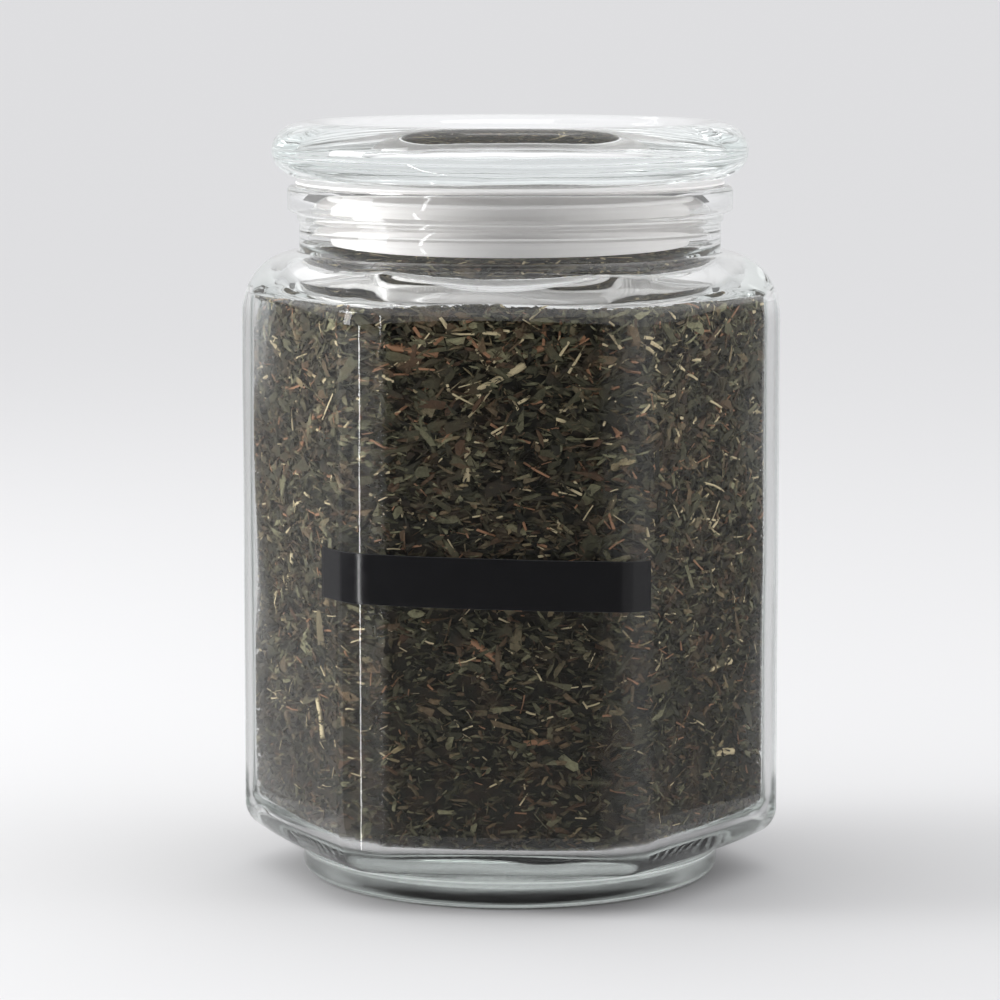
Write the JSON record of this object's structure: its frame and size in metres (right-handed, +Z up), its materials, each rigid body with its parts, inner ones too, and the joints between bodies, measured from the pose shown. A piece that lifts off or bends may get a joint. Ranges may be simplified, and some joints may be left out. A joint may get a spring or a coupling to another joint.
{
  "type": "glass jar of dried lemon balm",
  "caption": "Panelled clear glass storage jar with a pressed glass lid, ribbed seal and bare black label tape, full of cut dried lemon balm leaves and stems.",
  "frame": {"origin": "middle of the foot, on the surface the jar stands on", "axes": "+Z up the jar's axis, the labelled panel faces -Y"},
  "size_m": [0.0994, 0.0912, 0.1388],
  "materials": {
    "clear_glass": "clear pressed soda-lime glass with a faint green tint",
    "seal_plastic": "translucent milky polyethylene",
    "black_tape": "glossy black embossing tape, bare",
    "dried_leaf": "dry, matt, crumbled green-grey leaf",
    "straw_stem": "dry split straw-coloured stem",
    "brown_stem": "dry reddish-brown stem"
  },
  "bodies": {
    "root": {"glass_jar": "clear_glass", "glass_lid": "clear_glass", "lid_seal": "seal_plastic", "label_tape": "black_tape", "herb_fill": "dried_leaf", "stem_01": "straw_stem", "stem_02": "straw_stem", "stem_03": "brown_stem", "stem_04": "brown_stem", "stem_05": "brown_stem", "stem_06": "brown_stem", "stem_07": "straw_stem", "stem_08": "brown_stem", "stem_09": "straw_stem", "stem_10": "straw_stem", "stem_11": "straw_stem", "stem_12": "straw_stem", "stem_13": "brown_stem", "stem_14": "straw_stem", "stem_15": "straw_stem", "stem_16": "straw_stem", "stem_17": "brown_stem", "stem_18": "straw_stem", "stem_19": "brown_stem", "stem_20": "straw_stem", "stem_21": "straw_stem", "stem_22": "brown_stem", "leaf_01": "dried_leaf", "leaf_02": "dried_leaf", "leaf_03": "dried_leaf", "leaf_04": "dried_leaf", "leaf_05": "dried_leaf", "leaf_06": "dried_leaf", "leaf_07": "dried_leaf", "leaf_08": "dried_leaf", "leaf_09": "dried_leaf", "leaf_10": "dried_leaf", "top_stem_01": "straw_stem", "top_stem_02": "straw_stem", "top_stem_03": "brown_stem", "top_stem_04": "brown_stem", "top_leaf_01": "dried_leaf", "top_leaf_02": "dried_leaf", "top_leaf_03": "dried_leaf"}
  },
  "joints": []
}
